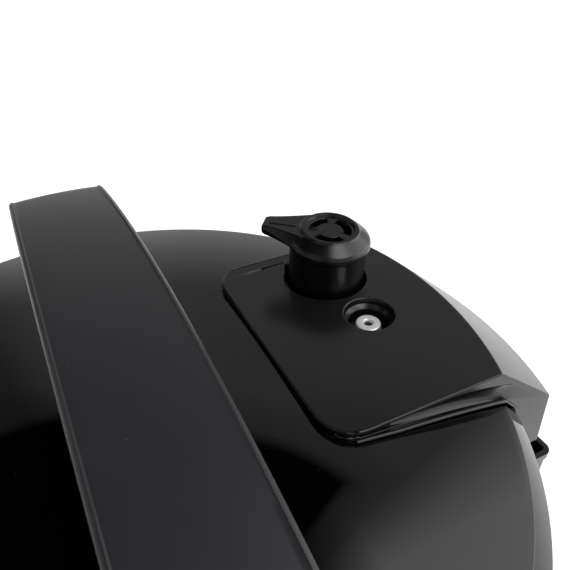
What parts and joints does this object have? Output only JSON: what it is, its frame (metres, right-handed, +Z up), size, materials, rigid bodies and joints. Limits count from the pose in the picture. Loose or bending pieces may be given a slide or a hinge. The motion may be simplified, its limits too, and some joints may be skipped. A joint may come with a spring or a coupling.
{
  "type": "electric pressure cooker",
  "caption": "Electric pressure cooker: steel body with control panel and collector cup, inner pot, bayonet lid with bar handle, steam release knob and float valve.",
  "frame": {"origin": "centre of the cooker's own box, on the table plane under its feet", "axes": "+Z up, controls towards -Y, steam release and collector towards +Y, carrying bar along X"},
  "size_m": [0.3686, 0.3694, 0.328],
  "materials": {
    "gloss_black": "high gloss",
    "satin_black": "fine satin grain",
    "matt_black": "matt moulded",
    "brushed_steel": "brushed",
    "pressed_steel": "smooth pressed sheet",
    "aluminium": "satin, machined",
    "silicone": "translucent white silicone",
    "rubber_feet": "matt rubber",
    "circuit": "solder-masked board",
    "display_lens": "polished window",
    "brass": "satin"
  },
  "bodies": {
    "base": {"bottom_plate": "matt_black", "power_inlet": "matt_black", "collector_rail": "matt_black", "foot_1": "rubber_feet", "foot_2": "rubber_feet", "foot_3": "rubber_feet", "foot_4": "rubber_feet", "base_screw_1": "pressed_steel", "base_screw_2": "pressed_steel", "base_screw_3": "pressed_steel", "base_screw_4": "pressed_steel", "locking_ring": "pressed_steel", "heating_element": "pressed_steel", "sensor_bracket": "pressed_steel", "sensor_spring": "pressed_steel", "base_ring": "satin_black", "upper_collar": "satin_black", "side_handle_right": "satin_black", "side_handle_left": "satin_black", "inlet_pin_1": "brass", "inlet_pin_2": "brass", "inlet_pin_3": "brass", "outer_shell": "brushed_steel", "heat_shield": "aluminium", "heating_plate": "aluminium", "power_board": "circuit", "control_board": "circuit", "control_panel": "gloss_black", "display_lens": "display_lens"},
    "inner_pot": {"inner_pot": "pressed_steel"},
    "lid_seal": {"sealing_ring": "silicone", "seal_rack": "pressed_steel"},
    "lid": {"lid_cover": "gloss_black", "lid_handle": "satin_black", "handle_underside": "matt_black", "handle_screw_right": "pressed_steel", "handle_screw_left": "pressed_steel", "valve_deck": "satin_black", "steam_pipe": "pressed_steel", "pipe_nut": "pressed_steel", "anti_block_shield": "pressed_steel", "float_guide": "matt_black", "inner_lid": "pressed_steel", "centre_stud": "pressed_steel", "centre_nut": "pressed_steel", "lid_lug_ring": "pressed_steel"},
    "release_knob": {"release_knob": "satin_black"},
    "release_pin": {"release_pin": "pressed_steel"},
    "float_valve": {"float_pin": "pressed_steel", "float_gasket": "silicone"},
    "temperature_sensor": {"temperature_sensor": "aluminium"},
    "condensation_collector": {"condensation_collector": "gloss_black"},
    "control_dial": {"control_dial": "satin_black"},
    "button_1": {"button_1": "satin_black"},
    "button_2": {"button_2": "satin_black"},
    "button_3": {"button_3": "satin_black"},
    "button_4": {"button_4": "satin_black"},
    "button_5": {"button_5": "satin_black"},
    "button_6": {"button_6": "satin_black"}
  },
  "joints": [
    {"name": "pot_lift", "type": "slide", "parent": "base", "child": "inner_pot", "axis": [0, 0, 1], "range_m": [0, 0.2]},
    {"name": "lid_lift", "type": "slide", "parent": "inner_pot", "child": "lid_seal", "axis": [0, 0, 1], "range_m": [0, 0.12]},
    {"name": "lid_turn", "type": "hinge", "parent": "lid_seal", "child": "lid", "pos_m": [0, -0.0139, 0.25], "axis": [0, 0, 1], "range_deg": [0, 30]},
    {"name": "release_turn", "type": "hinge", "parent": "lid", "child": "release_knob", "pos_m": [-0.0306, 0.0899, 0.3], "axis": [0, 0, 1], "range_deg": [0, 60]},
    {"name": "release_pin_lift", "type": "slide", "parent": "release_knob", "child": "release_pin", "axis": [0, 0, 1], "range_m": [0, 0.002]},
    {"name": "float_rise", "type": "slide", "parent": "lid", "child": "float_valve", "axis": [0, 0, 1], "range_m": [0, 0.005]},
    {"name": "sensor_press", "type": "slide", "parent": "base", "child": "temperature_sensor", "axis": [0, 0, -1], "range_m": [0, 0.0015], "stiffness_N_per_m": 1500, "springref_m": -0.003, "deforming": ["sensor_spring"]},
    {"name": "collector_pull", "type": "slide", "parent": "base", "child": "condensation_collector", "axis": [0, 1, 0], "range_m": [0, 0.07]},
    {"name": "dial_turn", "type": "hinge", "parent": "base", "child": "control_dial", "pos_m": [0, -0.1739, 0.101], "axis": [0, -1, 0], "continuous": true},
    {"name": "button_1_press", "type": "slide", "parent": "base", "child": "button_1", "axis": [0, 1, 0], "range_m": [0, 0.001], "stiffness_N_per_m": 800, "springref_m": -0.0005},
    {"name": "button_2_press", "type": "slide", "parent": "base", "child": "button_2", "axis": [0, 1, 0], "range_m": [0, 0.001], "stiffness_N_per_m": 800, "springref_m": -0.0005},
    {"name": "button_3_press", "type": "slide", "parent": "base", "child": "button_3", "axis": [0, 1, 0], "range_m": [0, 0.001], "stiffness_N_per_m": 800, "springref_m": -0.0005},
    {"name": "button_4_press", "type": "slide", "parent": "base", "child": "button_4", "axis": [0, 1, 0], "range_m": [0, 0.001], "stiffness_N_per_m": 800, "springref_m": -0.0005},
    {"name": "button_5_press", "type": "slide", "parent": "base", "child": "button_5", "axis": [0, 1, 0], "range_m": [0, 0.001], "stiffness_N_per_m": 800, "springref_m": -0.0005},
    {"name": "button_6_press", "type": "slide", "parent": "base", "child": "button_6", "axis": [0, 1, 0], "range_m": [0, 0.001], "stiffness_N_per_m": 800, "springref_m": -0.0005}
  ]
}
